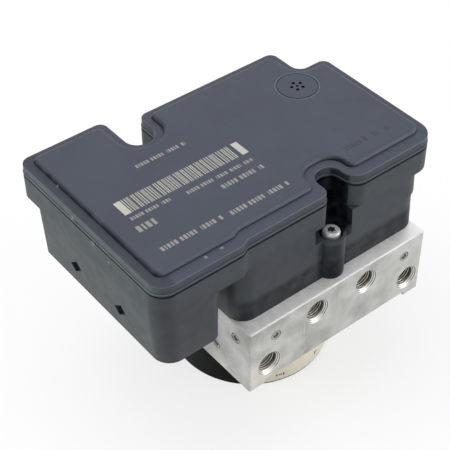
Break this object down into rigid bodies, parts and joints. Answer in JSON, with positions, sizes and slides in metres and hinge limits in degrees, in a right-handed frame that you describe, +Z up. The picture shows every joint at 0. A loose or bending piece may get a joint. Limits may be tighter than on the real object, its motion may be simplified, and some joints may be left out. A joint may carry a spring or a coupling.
{
  "type": "abs brake module",
  "caption": "Anti-lock brake module: machined aluminium hydraulic block with brake-line ports, moulded control unit on top and a round pump motor underneath.",
  "frame": {"origin": "on the motor axis, in the end face that the module stands on", "axes": "+Z up the motor axis through the block to the control unit, -Y out of the brake-line port face, +X along the block away from the connector"},
  "size_m": [0.138, 0.0972, 0.1174],
  "materials": {
    "machined_aluminium": "machined satin",
    "plug_aluminium": "satin",
    "bright_steel": "ground, bright",
    "zinc_steel": "zinc plated",
    "valve_steel": "turned",
    "spring_steel": "drawn wire",
    "core_steel": "laminated",
    "tinned_brass": "tinned",
    "copper": "enamelled copper",
    "sintered_bronze": "sintered",
    "housing_plastic": "fine grain, glass filled",
    "cover_plastic": "fine grain",
    "bobbin_plastic": "natural, glass filled",
    "chip_plastic": "moulded",
    "membrane": "woven",
    "board": "solder mask",
    "seal_rubber": "smooth",
    "carbon": "pressed graphite",
    "ferrite": "ground",
    "black_paint": "satin black coat",
    "label": "cream film"
  },
  "bodies": {
    "module": {"accumulator_caps": "plug_aluminium", "accumulator_spring_left": "spring_steel", "accumulator_spring_right": "spring_steel", "bearing_balls": "bright_steel", "bearing_outer_ring": "bright_steel", "board_components": "chip_plastic", "brush_holder": "bobbin_plastic", "brush_springs": "spring_steel", "brushes": "carbon", "circuit_board": "board", "coil_bobbins": "bobbin_plastic", "coil_housing": "housing_plastic", "coil_terminals": "tinned_brass", "coil_windings": "copper", "coil_yokes": "zinc_steel", "connector_pins": "tinned_brass", "connector_shroud": "housing_plastic", "ecu_cover": "cover_plastic", "ecu_housing": "housing_plastic", "end_shield": "zinc_steel", "gallery_plugs": "zinc_steel", "housing_screws": "zinc_steel", "housing_seal": "seal_rubber", "hydraulic_block": "machined_aluminium", "magnets": "ferrite", "motor_can": "black_paint", "motor_label": "label", "motor_oring": "seal_rubber", "motor_screws": "zinc_steel", "motor_terminals": "tinned_brass", "pump_plugs": "plug_aluminium", "pump_seals": "seal_rubber", "pump_sleeves": "valve_steel", "pump_spring_left": "spring_steel", "pump_spring_right": "spring_steel", "rear_bush": "sintered_bronze", "terminal_insulator": "bobbin_plastic", "valve_cartridges": "valve_steel", "vent_membrane": "membrane"},
    "rotor": {"motor_shaft": "bright_steel", "armature_core": "core_steel", "armature_windings": "copper", "commutator": "copper", "bearing_inner_ring": "bright_steel", "eccentric_rollers": "bright_steel"},
    "ring": {"eccentric_ring": "bright_steel"},
    "pump_piston_left": {"pump_piston_left": "valve_steel"},
    "pump_piston_right": {"pump_piston_right": "valve_steel"},
    "accumulator_left": {"accumulator_piston_left": "plug_aluminium", "accumulator_oring_left": "seal_rubber"},
    "accumulator_right": {"accumulator_piston_right": "plug_aluminium", "accumulator_oring_right": "seal_rubber"},
    "inlet_plunger_1": {"inlet_plunger_1": "valve_steel"},
    "inlet_plunger_2": {"inlet_plunger_2": "valve_steel"},
    "inlet_plunger_3": {"inlet_plunger_3": "valve_steel"},
    "inlet_plunger_4": {"inlet_plunger_4": "valve_steel"},
    "outlet_plunger_1": {"outlet_plunger_1": "valve_steel"},
    "outlet_plunger_2": {"outlet_plunger_2": "valve_steel"},
    "outlet_plunger_3": {"outlet_plunger_3": "valve_steel"},
    "outlet_plunger_4": {"outlet_plunger_4": "valve_steel"}
  },
  "joints": [
    {"name": "rotor_spin", "type": "hinge", "parent": "module", "child": "rotor", "pos_m": [0, 0, 0], "axis": [0, 0, 1], "continuous": true},
    {"name": "ring_spin", "type": "hinge", "parent": "rotor", "child": "ring", "pos_m": [0, 0.001, 0.05], "axis": [0, 0, 1], "continuous": true},
    {"name": "pump_piston_left_stroke", "type": "slide", "parent": "module", "child": "pump_piston_left", "axis": [-1, 0, 0], "range_m": [0, 0.002], "stiffness_N_per_m": 1500, "springref_m": -0.006, "deforming": ["pump_spring_left"]},
    {"name": "pump_piston_right_stroke", "type": "slide", "parent": "module", "child": "pump_piston_right", "axis": [1, 0, 0], "range_m": [0, 0.002], "stiffness_N_per_m": 1500, "springref_m": -0.006, "deforming": ["pump_spring_right"]},
    {"name": "accumulator_left_travel", "type": "slide", "parent": "module", "child": "accumulator_left", "axis": [0, 1, 0], "range_m": [0, 0.005], "stiffness_N_per_m": 2500, "springref_m": -0.02, "deforming": ["accumulator_spring_left"]},
    {"name": "accumulator_right_travel", "type": "slide", "parent": "module", "child": "accumulator_right", "axis": [0, 1, 0], "range_m": [0, 0.005], "stiffness_N_per_m": 2500, "springref_m": -0.02, "deforming": ["accumulator_spring_right"]},
    {"name": "inlet_valve_1_stroke", "type": "slide", "parent": "module", "child": "inlet_plunger_1", "axis": [0, 0, -1], "range_m": [0, 0.00035], "stiffness_N_per_m": 600, "springref_m": -0.004},
    {"name": "inlet_valve_2_stroke", "type": "slide", "parent": "module", "child": "inlet_plunger_2", "axis": [0, 0, -1], "range_m": [0, 0.00035], "stiffness_N_per_m": 600, "springref_m": -0.004},
    {"name": "inlet_valve_3_stroke", "type": "slide", "parent": "module", "child": "inlet_plunger_3", "axis": [0, 0, -1], "range_m": [0, 0.00035], "stiffness_N_per_m": 600, "springref_m": -0.004},
    {"name": "inlet_valve_4_stroke", "type": "slide", "parent": "module", "child": "inlet_plunger_4", "axis": [0, 0, -1], "range_m": [0, 0.00035], "stiffness_N_per_m": 600, "springref_m": -0.004},
    {"name": "outlet_valve_1_stroke", "type": "slide", "parent": "module", "child": "outlet_plunger_1", "axis": [0, 0, 1], "range_m": [0, 0.00035], "stiffness_N_per_m": 600, "springref_m": -0.004},
    {"name": "outlet_valve_2_stroke", "type": "slide", "parent": "module", "child": "outlet_plunger_2", "axis": [0, 0, 1], "range_m": [0, 0.00035], "stiffness_N_per_m": 600, "springref_m": -0.004},
    {"name": "outlet_valve_3_stroke", "type": "slide", "parent": "module", "child": "outlet_plunger_3", "axis": [0, 0, 1], "range_m": [0, 0.00035], "stiffness_N_per_m": 600, "springref_m": -0.004},
    {"name": "outlet_valve_4_stroke", "type": "slide", "parent": "module", "child": "outlet_plunger_4", "axis": [0, 0, 1], "range_m": [0, 0.00035], "stiffness_N_per_m": 600, "springref_m": -0.004}
  ],
  "couplings": [
    {"joint": "ring_spin", "follows": "rotor_spin", "ratio": -1}
  ]
}
